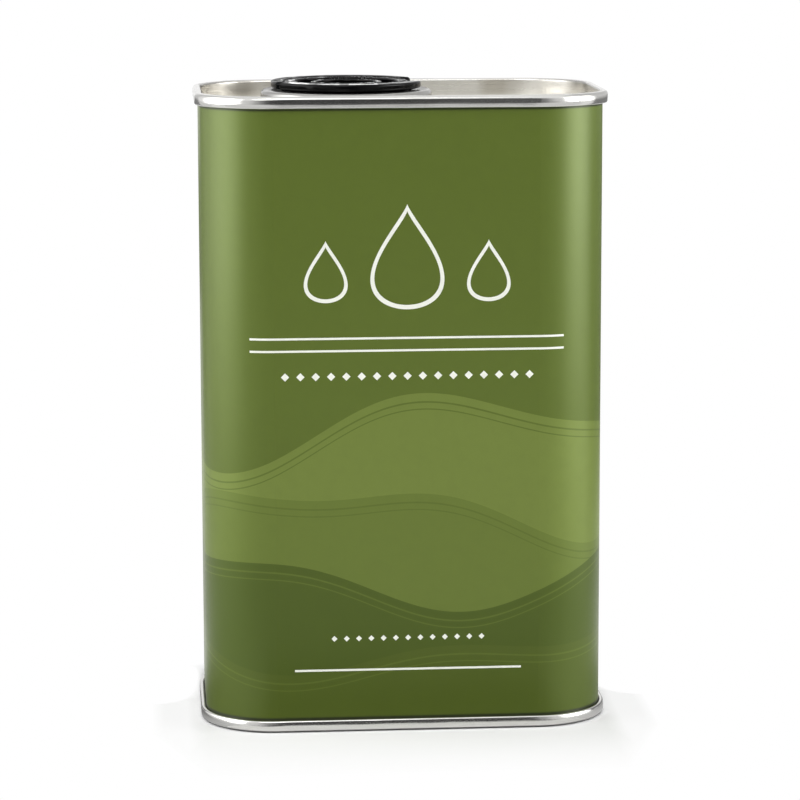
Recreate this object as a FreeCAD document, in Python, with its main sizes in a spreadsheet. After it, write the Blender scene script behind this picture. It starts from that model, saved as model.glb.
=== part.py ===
"""Oil tin of about half a litre: a tinplate can with double-seamed ends and a pull-up pour spout.

Frame: +Z up, the front of the tin faces -Y, and the origin is the middle of the base, on the floor.
The can is bent sheet: the wrapper's hooks and the ends' curls interlock in the seams, over a compound.
The spout is a folding moulding: its flange is crimped on the neck of the top end, its cone turns
inside out when it is pulled up, and its own neck carries a screw cap with two bails.
"""

import FreeCAD, Part
import math
import os

import Sketcher

DRIVING_SIZES = [
    # can
    ("tin_width", 85.0),
    ("tin_depth", 51.0),
    ("tin_height", 134.4),
    ("corner_radius", 14.8),
    ("body_sheet", 0.25),
    ("end_sheet", 0.28),
    ("weld_width", 0.9),
    ("weld_height", 0.12),
    # double seams
    ("seam_height", 2.6),
    ("seam_gap", 0.06),
    ("seam_crown", 0.1),
    ("seam_crown_bend", 5.5),
    ("seam_outer_bend", 0.8),
    ("seam_inner_bend", 0.5),
    ("seam_foot_bend", 0.42),
    ("flange_bend", 0.3),
    ("compound_thickness", 0.15),
    ("compound_width", 0.16),
    ("body_hook_length", 1.45),
    ("cover_hook_length", 1.6),
    # end panels
    ("countersink_depth", 4.6),
    ("countersink_bend", 0.6),
    ("countersink_floor", 1.8),
    ("panel_rise", 0.6),
    ("panel_slope", 0.8),
    ("panel_bend", 0.7),
    ("panel_margin", 1.2),
    # neck of the top end and the ring crimped on it
    ("spout_offset", 11.0),
    ("neck_bore_radius", 15.4),
    ("neck_height", 2.7),
    ("neck_root_bend", 0.7),
    ("bead_width", 1.7),
    ("bead_depth", 0.8),
    ("crimp_sheet", 0.25),
    ("crimp_shoulder", 1.1),
    ("crimp_height", 2.85),
    ("crimp_lip", 1.4),
    # spout moulding
    ("flange_thickness", 0.8),
    ("flange_skirt", 0.85),
    ("flange_land", 1.4),
    ("plug_depth", 2.4),
    ("spout_wall", 0.8),
    ("fold_drop", 11.4),
    ("cone_taper", 1.4),
    ("neck_foot_bend", 1.2),
    ("pour_bore_radius", 8.3),
    ("pour_wall", 1.2),
    ("pour_lip_drop", 1.4),
    ("seal_ledge", 0.9),
    ("seal_thickness", 0.6),
    ("seal_ring_radius", 5.4),
    ("seal_ring_width", 1.5),
    ("seal_ring_thickness", 1.0),
    ("seal_ring_lift", 1.4),
    ("moulding_gap", 0.05),
    # cap and bails
    ("cap_skirt_radius", 12.3),
    ("cap_thread_radius", 10.5),
    ("cap_skirt_length", 8.1),
    ("cap_plate", 1.2),
    ("cap_rim_radius", 13.2),
    ("cap_rim_width", 2.1),
    ("cap_rim_drop", 1.1),
    ("cap_hub_radius", 7.6),
    ("cap_hub_width", 1.1),
    ("cap_hub_height", 1.7),
    ("cap_edge", 0.3),
    ("flute_count", 36.0),
    ("flute_radius", 0.45),
    ("liner_thickness", 1.1),
    ("liner_clearance", 0.3),
    ("bail_outer_radius", 16.05),
    ("bail_gap", 0.4),
    ("bail_thickness", 1.55),
    ("bail_lift", 0.3),
    ("bail_edge", 0.45),
    ("rear_bail_turn", 23.4),
    ("rear_hinge_offset", 1.9),
    ("front_bail_turn", 186.5),
    ("front_hinge_offset", 6.0),
    ("heel_relief", 0.05),
    ("hinge_pin_radius", 0.55),
    ("hinge_pin_length", 1.5),
    ("hinge_clearance", 0.06),
]

doc = FreeCAD.newDocument("oil_tin")


class Size:
    """A length or angle, kept both as a number and as the sheet formula that gives it."""

    def __init__(self, value, formula):
        self.value = value
        self.formula = formula

    def combined(self, other, sign, value):
        return Size(value, f"({self.formula} {sign} {other.formula})")

    def __add__(self, other):
        other = as_size(other)
        return self.combined(other, "+", self.value + other.value)

    def __sub__(self, other):
        other = as_size(other)
        return self.combined(other, "-", self.value - other.value)

    def __mul__(self, factor):
        factor = as_size(factor)
        return self.combined(factor, "*", self.value * factor.value)

    def __truediv__(self, divisor):
        divisor = as_size(divisor)
        return self.combined(divisor, "/", self.value / divisor.value)

    def __neg__(self):
        return Size(-self.value, f"(-{self.formula})")


def as_size(number):
    """A plain number as a size, so that the two can be mixed in a sum."""
    return number if isinstance(number, Size) else Size(float(number), f"{float(number)}")


def fill_sheet():
    """Writes the driving sizes into the sheet, one a row, and gives them back by name."""
    sheet = doc.addObject("Spreadsheet::Sheet", "Sizes")
    for row, (name, number) in enumerate(DRIVING_SIZES, start=1):
        sheet.set(f"A{row}", name)
        sheet.set(f"B{row}", str(number))
        sheet.setAlias(f"B{row}", name)
    doc.recompute()
    return {name: Size(float(sheet.get(name)), f"Sizes.{name}") for name, _ in DRIVING_SIZES}


S = fill_sheet()
ZERO = as_size(0)


def half_chord(radius, offset):
    """Half the length of a straight cut across a circle, at an offset from its centre."""
    value = math.sqrt(radius.value**2 - offset.value**2)
    return Size(value, f"sqrt({radius.formula} ^ 2 - {offset.formula} ^ 2)")


def resolved(length, turn):
    """The sine and cosine parts of a length turned by an angle in degrees."""
    angle = math.radians(turn.value)
    sine = Size(length.value * math.sin(angle), f"({length.formula} * sin({turn.formula}))")
    cosine = Size(length.value * math.cos(angle), f"({length.formula} * cos({turn.formula}))")
    return sine, cosine


def new_body(label):
    body = doc.addObject("PartDesign::Body", label)
    body.Label = label
    return body


def bind(target, path, size):
    """Ties one property of an object to the sheet."""
    target.setExpression(path, size.formula)


def new_sketch(body, name, plane, level=None, shift=None):
    """A sketch on a plane of the body, raised along its normal by level and moved along its x by shift."""
    sketch = body.newObject("Sketcher::SketchObject", f"{body.Label}_{name}")
    origin_plane = next(f for f in body.Origin.OriginFeatures if f.Role == plane)
    sketch.AttachmentSupport = [(origin_plane, "")]
    sketch.MapMode = "FlatFace"
    if level is not None:
        bind(sketch, "AttachmentOffset.Base.z", level)
    if shift is not None:
        bind(sketch, "AttachmentOffset.Base.x", shift)
    return sketch


def new_upright_sketch(body, name, turn, level):
    """A sketch square to a level line through the body's axis, turned about it, at a distance along it."""
    sketch = new_sketch(body, name, "YZ_Plane")
    sketch.AttachmentOffset = FreeCAD.Placement(
        FreeCAD.Vector(), FreeCAD.Rotation(FreeCAD.Vector(0, 1, 0), turn.value)
    )
    sine, cosine = resolved(level, turn)
    bind(sketch, "AttachmentOffset.Rotation.Angle", turn)
    bind(sketch, "AttachmentOffset.Base.x", sine)
    bind(sketch, "AttachmentOffset.Base.z", cosine)
    return sketch


def pin(sketch, geometry, point, x, y):
    """Holds a point of the sketch at x and y from its origin, each tied to the sheet."""
    for kind, size, axis in (("DistanceX", x, -2), ("DistanceY", y, -1)):
        if size is ZERO:
            sketch.addConstraint(Sketcher.Constraint("PointOnObject", geometry, point, axis))
            continue
        index = sketch.addConstraint(Sketcher.Constraint(kind, -1, 1, geometry, point, size.value))
        bind(sketch, f"Constraints[{index}]", size)


def draw_outline(sketch, corners):
    """Draws a closed outline through corners of (x, y, bend radius or None), with bends as tangent arcs."""
    points = [FreeCAD.Vector(x.value, y.value, 0) for x, y, _ in corners]
    count = len(corners)
    ends = []
    for i, (_, _, bend) in enumerate(corners):
        corner, before, after = points[i], points[i - 1], points[(i + 1) % count]
        incoming, outgoing = (corner - before).normalize(), (after - corner).normalize()
        setback = bend.value * math.tan(incoming.getAngle(outgoing) / 2) if bend else 0.0
        turns_left = incoming.cross(outgoing).z > 0
        ends.append((corner - incoming * setback, corner + outgoing * setback, turns_left))
    lines = [
        sketch.addGeometry(Part.LineSegment(ends[i - 1][1], ends[i][0]), False)
        for i in range(count)
    ]
    for i, (x, y, bend) in enumerate(corners):
        here, following = lines[i], lines[(i + 1) % count]
        if bend is None:
            sketch.addConstraint(Sketcher.Constraint("Coincident", here, 2, following, 1))
            pin(sketch, following, 1, x, y)
            continue
        draw_bend(sketch, here, following, points[i], ends[i], bend)
        marker = sketch.addGeometry(Part.Point(points[i]), True)
        sketch.addConstraint(Sketcher.Constraint("PointOnObject", marker, 1, here))
        sketch.addConstraint(Sketcher.Constraint("PointOnObject", marker, 1, following))
        pin(sketch, marker, 1, x, y)


def draw_bend(sketch, here, following, corner, end, bend):
    """Joins two lines of an outline by an arc that is tangent to both."""
    first, last, turns_left = end
    inward = ((first - corner).normalize() + (last - corner).normalize()).normalize()
    reach = math.hypot(bend.value, (first - corner).Length)
    centre = corner + inward * reach
    start, stop = (first, last) if turns_left else (last, first)
    angles = [math.atan2((p - centre).y, (p - centre).x) for p in (start, stop)]
    circle = Part.Circle(centre, FreeCAD.Vector(0, 0, 1), bend.value)
    arc = sketch.addGeometry(Part.ArcOfCircle(circle, angles[0], angles[1]), False)
    arc_first, arc_last = (1, 2) if turns_left else (2, 1)
    sketch.addConstraint(Sketcher.Constraint("Tangent", here, 2, arc, arc_first))
    sketch.addConstraint(Sketcher.Constraint("Tangent", arc, arc_last, following, 1))
    index = sketch.addConstraint(Sketcher.Constraint("Radius", arc, bend.value))
    bind(sketch, f"Constraints[{index}]", bend)


def draw_circle(sketch, radius, x=ZERO, y=ZERO):
    centre = FreeCAD.Vector(x.value, y.value, 0)
    circle = sketch.addGeometry(Part.Circle(centre, FreeCAD.Vector(0, 0, 1), radius.value), False)
    index = sketch.addConstraint(Sketcher.Constraint("Radius", circle, radius.value))
    bind(sketch, f"Constraints[{index}]", radius)
    pin(sketch, circle, 3, x, y)


def draw_rounded_rectangle(sketch, inset):
    """The can's outline in plan from the middle of its right side, inset from the wrapper's outer face."""
    half_x = S["tin_width"] / 2 - inset
    half_y = S["tin_depth"] / 2 - inset
    bend = S["corner_radius"] - inset
    draw_outline(
        sketch,
        [
            (half_x, half_y, bend),
            (-half_x, half_y, bend),
            (-half_x, -half_y, bend),
            (half_x, -half_y, bend),
            (half_x, ZERO, None),
        ],
    )


def sweep_round(body, corners):
    """Sweeps a section, drawn on the right-hand side of the can, all the way round the can's outline."""
    section = new_sketch(body, "section", "XZ_Plane")
    draw_outline(section, corners)
    path = new_sketch(body, "path", "XY_Plane")
    draw_rounded_rectangle(path, ZERO)
    pipe = body.newObject("PartDesign::AdditivePipe", f"{body.Label}_sweep")
    pipe.Profile = section
    pipe.Spine = path
    return pipe


def revolve(body, name, corners, shift=None):
    """Turns a section of (radius, height, bend) about the upright axis."""
    section = new_sketch(body, name, "XZ_Plane", shift=shift)
    draw_outline(section, corners)
    turned = body.newObject("PartDesign::Revolution", f"{body.Label}_{name}_turned")
    turned.Profile = section
    turned.ReferenceAxis = (section, ["V_Axis"])
    turned.Angle = 360.0
    return turned


def pad(body, sketch, length):
    feature = body.newObject("PartDesign::Pad", f"{sketch.Label}_pad")
    feature.Profile = sketch
    bind(feature, "Length", length)
    return feature


def pocket(body, sketch, length, reverse=False, midplane=False):
    feature = body.newObject("PartDesign::Pocket", f"{sketch.Label}_pocket")
    feature.Profile = sketch
    bind(feature, "Length", length)
    feature.Reversed = reverse
    feature.Midplane = midplane
    return feature


def repeat_round(body, feature, count):
    """Copies a cut evenly round the body's upright axis."""
    pattern = body.newObject("PartDesign::PolarPattern", f"{feature.Label}_round")
    pattern.Originals = [feature]
    upright = next(f for f in body.Origin.OriginFeatures if f.Role == "Z_Axis")
    pattern.Axis = (upright, [""])
    pattern.Angle = 360.0
    bind(pattern, "Occurrences", count)
    body.Tip = pattern
    return pattern


def put_on_spout_axis(body, turn=None):
    """Moves a piece from the middle of the tin to the spout's axis, and turns it about that axis."""
    bind(body, "Placement.Base.x", -S["spout_offset"])
    if turn is not None:
        bind(body, "Placement.Rotation.Angle", turn)


# Stations of the double seam, counted outwards from the wrapper's outer face at mid side.
half_width = S["tin_width"] / 2
cover_hook_in = half_width + S["seam_gap"]
cover_hook_out = cover_hook_in + S["end_sheet"]
body_hook_in = cover_hook_out + S["seam_gap"]
body_hook_out = body_hook_in + S["body_sheet"]
seam_wall_in = body_hook_out + S["seam_gap"] + S["seam_crown"]
seam_wall_out = seam_wall_in + S["end_sheet"]
chuck_wall_out = half_width - S["body_sheet"] - S["seam_gap"]
chuck_wall_in = chuck_wall_out - S["end_sheet"]
slope_foot = chuck_wall_in - S["countersink_floor"]
slope_head = slope_foot - S["panel_slope"]
panel_edge = slope_head - S["panel_margin"]
panel_inset = half_width - panel_edge

# Depths below the top of the seam, or heights above its foot at the base.
flange_level = S["end_sheet"] + S["compound_thickness"]
hook_end_level = flange_level + S["body_hook_length"]
cover_tip_level = S["seam_height"] - S["cover_hook_length"]
panel_level = S["countersink_depth"] - S["panel_rise"]


def at_top(depth):
    return S["tin_height"] - depth


def at_base(depth):
    return depth


def build_body_shell():
    """The printed wrapper: one sheet with a hook at each end and a lap weld down one narrow side."""
    body = new_body("body_shell")
    sheet = S["body_sheet"]
    inner = half_width - sheet
    tight = S["seam_gap"] * 2
    outer_bend = S["flange_bend"]
    corners = []
    for level, order in ((at_top, 1), (at_base, -1)):
        hook = [
            (inner, level(flange_level), outer_bend),
            (body_hook_out, level(flange_level), outer_bend),
            (body_hook_out, level(hook_end_level), None),
            (body_hook_in, level(hook_end_level), None),
            (body_hook_in, level(flange_level + sheet), tight),
            (half_width, level(flange_level + sheet), tight),
        ]
        corners += hook[::order]
    sweep_round(body, corners)
    weld = new_sketch(body, "weld", "YZ_Plane", level=half_width - sheet / 2)
    half_weld = S["weld_width"] / 2
    low, high = S["seam_height"] * 1.2, S["tin_height"] - S["seam_height"] * 1.2
    draw_outline(
        weld,
        [
            (-half_weld, low, None),
            (half_weld, low, None),
            (half_weld, high, None),
            (-half_weld, high, None),
        ],
    )
    pad(body, weld, sheet / 2 + S["weld_height"])
    return body


def end_section(level):
    """Section of an end from its cover hook, over the crowned seam and down to the edge of the panel."""
    sheet = S["end_sheet"]
    outer, inner, foot = S["seam_outer_bend"], S["seam_inner_bend"], S["seam_foot_bend"]
    floor = S["countersink_depth"]
    sink_bend, sink_back = S["countersink_bend"], S["countersink_bend"] + sheet
    rise_bend, rise_back = S["panel_bend"], S["panel_bend"] + sheet
    crown, crown_bend = S["seam_crown"], S["seam_crown_bend"]
    middle = S["seam_height"] / 2
    return [
        (cover_hook_in, level(cover_tip_level), None),
        (cover_hook_in, level(S["seam_height"]), foot),
        (seam_wall_out - crown, level(S["seam_height"]), foot),
        (seam_wall_out, level(middle), crown_bend),
        (seam_wall_out - crown, level(ZERO), outer),
        (chuck_wall_in, level(ZERO), inner),
        (chuck_wall_in, level(floor), sink_bend),
        (slope_foot, level(floor), rise_bend),
        (slope_head, level(panel_level), rise_back),
        (panel_edge, level(panel_level), None),
        (panel_edge, level(panel_level + sheet), None),
        (slope_head, level(panel_level + sheet), rise_bend),
        (slope_foot, level(floor + sheet), rise_back),
        (chuck_wall_out, level(floor + sheet), sink_back),
        (chuck_wall_out, level(sheet), inner - sheet),
        (seam_wall_in - crown, level(sheet), outer - sheet),
        (seam_wall_in, level(middle), crown_bend - sheet),
        (seam_wall_in - crown, level(S["seam_height"] - sheet), foot - sheet),
        (cover_hook_out, level(S["seam_height"] - sheet), foot - sheet),
        (cover_hook_out, level(cover_tip_level), None),
    ]


# Heights of the neck and of everything that stands on it.
panel_top = at_top(panel_level)
neck_top = panel_top + S["neck_height"]
neck_outer_radius = S["neck_bore_radius"] + S["end_sheet"]
bead_radius = neck_outer_radius + S["bead_width"] - S["end_sheet"]
neck_root_radius = neck_outer_radius + S["neck_root_bend"] * 2
flange_top = neck_top + S["flange_thickness"]
flange_radius = bead_radius + S["flange_skirt"]
crimp_inner_radius = flange_radius + S["moulding_gap"]
crimp_radius = crimp_inner_radius + S["crimp_sheet"]
crimp_top = flange_top + S["crimp_sheet"]


def build_top_end():
    """The upper end: seaming curl, countersink and panel, and a raised neck with its rim curled outwards."""
    body = new_body("top_end")
    sheet = S["end_sheet"]
    sweep_round(body, end_section(at_top))
    panel = new_sketch(body, "panel", "XY_Plane", level=panel_top - sheet)
    draw_rounded_rectangle(panel, panel_inset)
    draw_circle(panel, neck_root_radius, x=-S["spout_offset"])
    pad(body, panel, sheet)
    root, tight = S["neck_root_bend"], sheet / 2
    bead_under, bead_end = neck_top - sheet, neck_top - S["bead_depth"]
    revolve(
        body,
        "neck",
        [
            (neck_root_radius, panel_top, None),
            (neck_outer_radius, panel_top, root),
            (neck_outer_radius, bead_under, tight),
            (bead_radius - sheet, bead_under, tight),
            (bead_radius - sheet, bead_end, None),
            (bead_radius, bead_end, None),
            (bead_radius, neck_top, tight + sheet),
            (S["neck_bore_radius"], neck_top, tight + sheet),
            (S["neck_bore_radius"], panel_top - sheet, root + sheet),
            (neck_root_radius, panel_top - sheet, None),
        ],
        shift=-S["spout_offset"],
    )
    return body


def build_bottom_end():
    """The lower end, seamed the same way, whose flat land is what the tin stands on."""
    body = new_body("bottom_end")
    sweep_round(body, end_section(at_base))
    panel = new_sketch(body, "panel", "XY_Plane", level=panel_level)
    draw_rounded_rectangle(panel, panel_inset)
    pad(body, panel, S["end_sheet"])
    return body


def build_seam_compound(label, level):
    """The ring of sealing compound between the wrapper's flange and the end's curl."""
    body = new_body(label)
    first = half_width - S["body_sheet"] + S["flange_bend"]
    last = first + S["compound_width"]
    under, over = level(flange_level), level(S["end_sheet"])
    sweep_round(
        body,
        [(first, under, None), (last, under, None), (last, over, None), (first, over, None)],
    )
    return body


def build_crimp_ring():
    """The bright ring over the spout's flange, closed in under the neck's bead."""
    body = new_body("crimp_ring")
    sheet = S["crimp_sheet"]
    shoulder, tight = S["crimp_shoulder"], S["crimp_sheet"]
    inner = flange_radius - S["flange_skirt"] - S["bead_width"] - S["flange_land"] + S["spout_wall"]
    foot = crimp_top - S["crimp_height"]
    lip = crimp_inner_radius - S["crimp_lip"]
    revolve(
        body,
        "ring",
        [
            (inner, crimp_top, None),
            (crimp_radius, crimp_top, shoulder),
            (crimp_radius, foot, tight * 2),
            (lip, foot, None),
            (lip, foot + sheet, None),
            (crimp_inner_radius, foot + sheet, tight),
            (crimp_inner_radius, flange_top, shoulder - sheet),
            (inner, flange_top, None),
        ],
    )
    put_on_spout_axis(body)
    return body


# The spout moulding, from the flange inwards and down into the tin.
plug_inner_radius = neck_outer_radius - S["end_sheet"] - S["flange_land"]
plug_outer_radius = S["neck_bore_radius"] - S["moulding_gap"] * 4
plug_end = neck_top - S["plug_depth"]
fold_level = plug_end - S["fold_drop"]
fold_inner_radius = plug_inner_radius - S["cone_taper"]
fold_outer_radius = fold_inner_radius + S["spout_wall"]
pour_outer_radius = S["pour_bore_radius"] + S["pour_wall"]
spout_foot = fold_level - S["spout_wall"]
pour_lip = flange_top - S["pour_lip_drop"] - S["spout_wall"]
ledge_level = spout_foot + S["seal_ledge"] * 2


def build_spout_flange():
    """The fixed rim of the spout: it lies on the neck's bead, wraps its edge and plugs its bore."""
    body = new_body("spout_flange")
    gap = S["moulding_gap"]
    skirt_end = neck_top - S["bead_depth"] * 1.2
    revolve(
        body,
        "rim",
        [
            (plug_inner_radius, flange_top, None),
            (flange_radius, flange_top, S["crimp_shoulder"] - S["crimp_sheet"]),
            (flange_radius, skirt_end, None),
            (bead_radius + gap, skirt_end, None),
            (bead_radius + gap, neck_top, None),
            (plug_outer_radius, neck_top, None),
            (plug_outer_radius, plug_end, None),
            (plug_inner_radius, plug_end, None),
        ],
    )
    put_on_spout_axis(body)
    return body


def build_spout_cone():
    """The thin wall that turns inside out when the spout is pulled up, folded down into the tin."""
    body = new_body("spout_cone")
    wall = S["spout_wall"]
    revolve(
        body,
        "wall",
        [
            (plug_inner_radius, plug_end, None),
            (plug_inner_radius + wall, plug_end, None),
            (fold_outer_radius, fold_level, None),
            (fold_inner_radius, fold_level, None),
        ],
    )
    put_on_spout_axis(body)
    return body


def build_spout_neck():
    """The pouring neck on the flat foot that carries the cone, with a ledge inside for the seal."""
    body = new_body("spout_neck")
    bore, ledge = S["pour_bore_radius"], S["seal_ledge"]
    foot_bend = S["spout_wall"] * 0.75
    revolve(
        body,
        "tube",
        [
            (bore, pour_lip, S["cap_edge"]),
            (pour_outer_radius, pour_lip, S["cap_edge"]),
            (pour_outer_radius, fold_level, S["neck_foot_bend"]),
            (fold_outer_radius, fold_level, None),
            (fold_outer_radius, spout_foot, foot_bend),
            (bore - ledge, spout_foot, foot_bend / 2),
            (bore - ledge, ledge_level, None),
            (bore, ledge_level, None),
        ],
    )
    put_on_spout_axis(body)
    return body


def build_tear_seal():
    """The membrane that closes the new spout, with the ring that it is torn out by."""
    body = new_body("tear_seal")
    seal_top = ledge_level + S["seal_thickness"]
    edge = S["pour_bore_radius"] - S["moulding_gap"]
    score = edge - S["seal_ledge"]
    groove = S["seal_thickness"] / 2
    revolve(
        body,
        "membrane",
        [
            (ZERO, ledge_level, None),
            (edge, ledge_level, None),
            (edge, seal_top, None),
            (score, seal_top, None),
            (score - groove, seal_top - groove, None),
            (score - groove * 2, seal_top, None),
            (ZERO, seal_top, None),
        ],
    )
    ring_radius, ring_width = S["seal_ring_radius"], S["seal_ring_width"]
    ring = new_sketch(body, "ring", "XY_Plane", level=seal_top + S["seal_ring_lift"])
    draw_circle(ring, ring_radius)
    draw_circle(ring, ring_radius - ring_width)
    pad(body, ring, S["seal_ring_thickness"])
    post = new_sketch(body, "post", "XY_Plane", level=seal_top)
    draw_circle(post, ring_width / 2, x=ring_radius - ring_width / 2)
    pad(body, post, S["seal_ring_lift"] + S["seal_ring_thickness"] / 2)
    put_on_spout_axis(body)
    return body


# The cap stands on the liner, the liner on the lip of the pouring neck.
plate_under = pour_lip + S["liner_thickness"]
plate_top = plate_under + S["cap_plate"]
bail_under = crimp_top + S["bail_lift"]
bail_top = bail_under + S["bail_thickness"]
hinge_level = bail_under + S["bail_thickness"] / 2
bail_inner_radius = S["cap_rim_radius"] + S["bail_gap"]
rim_top = bail_top - S["bail_lift"] / 2
rim_inner_radius = S["cap_rim_radius"] - S["cap_rim_width"]


def build_cap():
    """The screw cap: a fluted skirt, a rim that carries the bails, and a sunk top with a raised ring."""
    body = new_body("cap")
    edge = S["cap_edge"]
    skirt_end = plate_under - S["cap_skirt_length"]
    rim_foot = plate_top - S["cap_rim_drop"]
    hub_top = plate_top + S["cap_hub_height"]
    hub_out, hub_in = S["cap_hub_radius"], S["cap_hub_radius"] - S["cap_hub_width"]
    revolve(
        body,
        "shell",
        [
            (ZERO, plate_under, None),
            (S["cap_thread_radius"], plate_under, None),
            (S["cap_thread_radius"], skirt_end, edge),
            (S["cap_skirt_radius"], skirt_end, edge),
            (S["cap_skirt_radius"], rim_foot, None),
            (S["cap_rim_radius"], rim_foot, edge),
            (S["cap_rim_radius"], rim_top, edge),
            (rim_inner_radius, rim_top, edge),
            (rim_inner_radius, plate_top, edge),
            (hub_out, plate_top, edge),
            (hub_out, hub_top, edge),
            (hub_in, hub_top, edge),
            (hub_in, plate_top, edge),
            (ZERO, plate_top, None),
        ],
    )
    flute = new_sketch(body, "flute", "XY_Plane", level=skirt_end)
    draw_circle(flute, S["flute_radius"], x=S["cap_skirt_radius"] + S["flute_radius"] / 2)
    cut = pocket(body, flute, rim_foot - skirt_end, reverse=True)
    repeat_round(body, cut, S["flute_count"])
    for bail in ("rear", "front"):
        drill_hinge_holes(body, bail)
    put_on_spout_axis(body)
    return body


def drill_hinge_holes(body, bail):
    """Two blind holes in the cap's rim, in line, for the pins of one bail."""
    turn, offset = S[f"{bail}_bail_turn"], S[f"{bail}_hinge_offset"]
    hole_end = half_chord(bail_inner_radius, offset) - S["hinge_pin_length"] - S["hinge_clearance"] * 4
    for side, name in ((1, "right"), (-1, "left")):
        hole = new_upright_sketch(body, f"{bail}_{name}_hole", turn, hole_end * side)
        draw_circle(hole, S["hinge_pin_radius"] + S["hinge_clearance"], x=offset, y=hinge_level)
        pocket(body, hole, S["cap_rim_width"] * 2, reverse=side > 0)


def build_cap_liner():
    """The soft disc that seals the cap on the pouring lip."""
    body = new_body("cap_liner")
    edge = S["cap_thread_radius"] - S["liner_clearance"]
    revolve(
        body,
        "disc",
        [
            (ZERO, pour_lip, None),
            (edge, pour_lip, None),
            (edge, plate_under, None),
            (ZERO, plate_under, None),
        ],
    )
    put_on_spout_axis(body)
    return body


def build_bail(bail):
    """One bow handle, whose ends are rounded about the hinge line and carry pins that turn in the cap."""
    label = f"{bail}_bail"
    body = new_body(label)
    offset, edge = S[f"{bail}_hinge_offset"], S["bail_edge"]
    section = new_sketch(body, "section", "YZ_Plane")
    draw_outline(
        section,
        [
            (bail_inner_radius, bail_under, edge / 2),
            (S["bail_outer_radius"], bail_under, edge),
            (S["bail_outer_radius"], bail_top, edge),
            (bail_inner_radius, bail_top, edge),
        ],
    )
    half_ring = body.newObject("PartDesign::Revolution", f"{label}_half_ring")
    half_ring.Profile = section
    half_ring.ReferenceAxis = (section, ["V_Axis"])
    half_ring.Angle = 180.0
    half_ring.Midplane = True
    heel = new_sketch(body, "heel", "YZ_Plane")
    draw_heel_cut(heel, offset, S["bail_thickness"] / 2 + S["heel_relief"])
    pocket(body, heel, S["bail_outer_radius"] * 3, midplane=True)
    pin_in = half_chord(bail_inner_radius, offset) - S["hinge_pin_length"]
    for side, name in ((1, "right"), (-1, "left")):
        hinge_pin = new_sketch(body, f"{name}_pin", "YZ_Plane", level=pin_in * side)
        draw_circle(hinge_pin, S["hinge_pin_radius"], x=offset, y=hinge_level)
        pad(body, hinge_pin, S["hinge_pin_length"] * 1.5).Reversed = side < 0
    put_on_spout_axis(body, S[f"{bail}_bail_turn"])
    return body


def draw_heel_cut(sketch, offset, radius):
    """What is cut away before the hinge line, so that a bail's ends stay in a round of this radius."""
    low, high = hinge_level - radius * 2, hinge_level + radius * 2
    centre = FreeCAD.Vector(offset.value, hinge_level.value, 0)
    circle = Part.Circle(centre, FreeCAD.Vector(0, 0, 1), radius.value)
    arc = sketch.addGeometry(Part.ArcOfCircle(circle, math.pi / 2, math.pi * 3 / 2), False)
    pin(sketch, arc, 3, offset, hinge_level)
    index = sketch.addConstraint(Sketcher.Constraint("Radius", arc, radius.value))
    bind(sketch, f"Constraints[{index}]", radius)
    stops = [
        (offset, hinge_level - radius),
        (offset, low),
        (-offset * 2, low),
        (-offset * 2, high),
        (offset, high),
        (offset, hinge_level + radius),
    ]
    points = [FreeCAD.Vector(x.value, y.value, 0) for x, y in stops]
    lines = [sketch.addGeometry(Part.LineSegment(a, b), False) for a, b in zip(points, points[1:])]
    for line, following, (x, y) in zip(lines, lines[1:], stops[1:]):
        sketch.addConstraint(Sketcher.Constraint("Coincident", line, 2, following, 1))
        pin(sketch, following, 1, x, y)
    sketch.addConstraint(Sketcher.Constraint("Coincident", lines[0], 1, arc, 2))
    sketch.addConstraint(Sketcher.Constraint("Coincident", lines[-1], 2, arc, 1))
    sketch.addConstraint(Sketcher.Constraint("Vertical", lines[0]))
    sketch.addConstraint(Sketcher.Constraint("Vertical", lines[-1]))


def build_all():
    return [
        build_body_shell(),
        build_top_end(),
        build_bottom_end(),
        build_seam_compound("top_seam_compound", at_top),
        build_seam_compound("bottom_seam_compound", at_base),
        build_crimp_ring(),
        build_spout_flange(),
        build_spout_cone(),
        build_spout_neck(),
        build_tear_seal(),
        build_cap(),
        build_cap_liner(),
        build_bail("rear"),
        build_bail("front"),
    ]


def check(bodies):
    """Stops if anything in the document failed or a piece is not one sound solid."""
    failed = [o.Label for o in doc.Objects if "Invalid" in o.State or "Error" in o.State]
    for body in bodies:
        if body.Shape.isNull() or not body.Shape.isValid() or len(body.Shape.Solids) != 1:
            failed.append(body.Label)
    if failed:
        raise RuntimeError(f"these did not build: {failed}")


def main():
    bodies = build_all()
    doc.recompute()
    check(bodies)
    os.makedirs("parts", exist_ok=True)
    for body in bodies:
        body.Shape.exportStep(f"parts/{body.Label}.step")
        print(f"{body.Label}: {body.Shape.Volume:.1f} cubic mm")


main()
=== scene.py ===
"""Looks for the oil tin: printed and bright tinplate, the black spout, the studio and the camera."""

import math

import bmesh
import bpy
from mathutils import Matrix, Vector


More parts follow.
